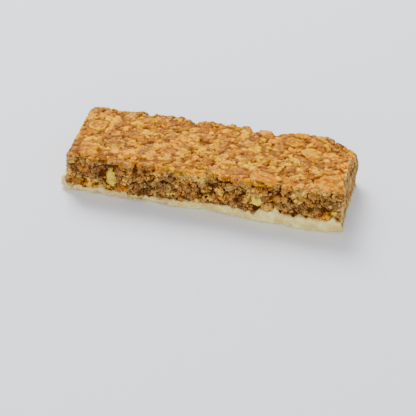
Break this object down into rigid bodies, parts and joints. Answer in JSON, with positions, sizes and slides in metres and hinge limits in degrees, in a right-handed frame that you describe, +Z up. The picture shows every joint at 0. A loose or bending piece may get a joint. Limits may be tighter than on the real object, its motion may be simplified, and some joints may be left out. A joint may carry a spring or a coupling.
{
  "type": "protein bar",
  "caption": "Rectangular protein bar of pressed crisps, oats and nut pieces, uneven and crumbly at its sides, with a white coating under it and along its lower edges.",
  "frame": {"origin": "on the underside that the bar rests on, below the middle of its bounding box", "axes": "+X along the bar towards its thicker end, +Y across it towards the side with the crushed corner, +Z up"},
  "size_m": [0.1162, 0.0376, 0.0205],
  "materials": {
    "crisps_in_syrup": "golden brown crisps and oats held in set syrup, slightly glazed on top and rough at the sides",
    "yoghurt_coating": "smooth ivory-white coating, satin",
    "roasted_nut": "roasted nut with a thin glaze of syrup",
    "pale_nut": "bare broken nut, matt"
  },
  "bodies": {
    "root": {"crisp_slab": "crisps_in_syrup", "white_coating": "yoghurt_coating", "nut_piece_1": "roasted_nut", "nut_piece_2": "roasted_nut", "nut_piece_3": "roasted_nut", "nut_piece_4": "roasted_nut", "nut_piece_5": "roasted_nut", "nut_piece_6": "roasted_nut", "nut_piece_7": "pale_nut", "nut_piece_8": "pale_nut"}
  },
  "joints": []
}
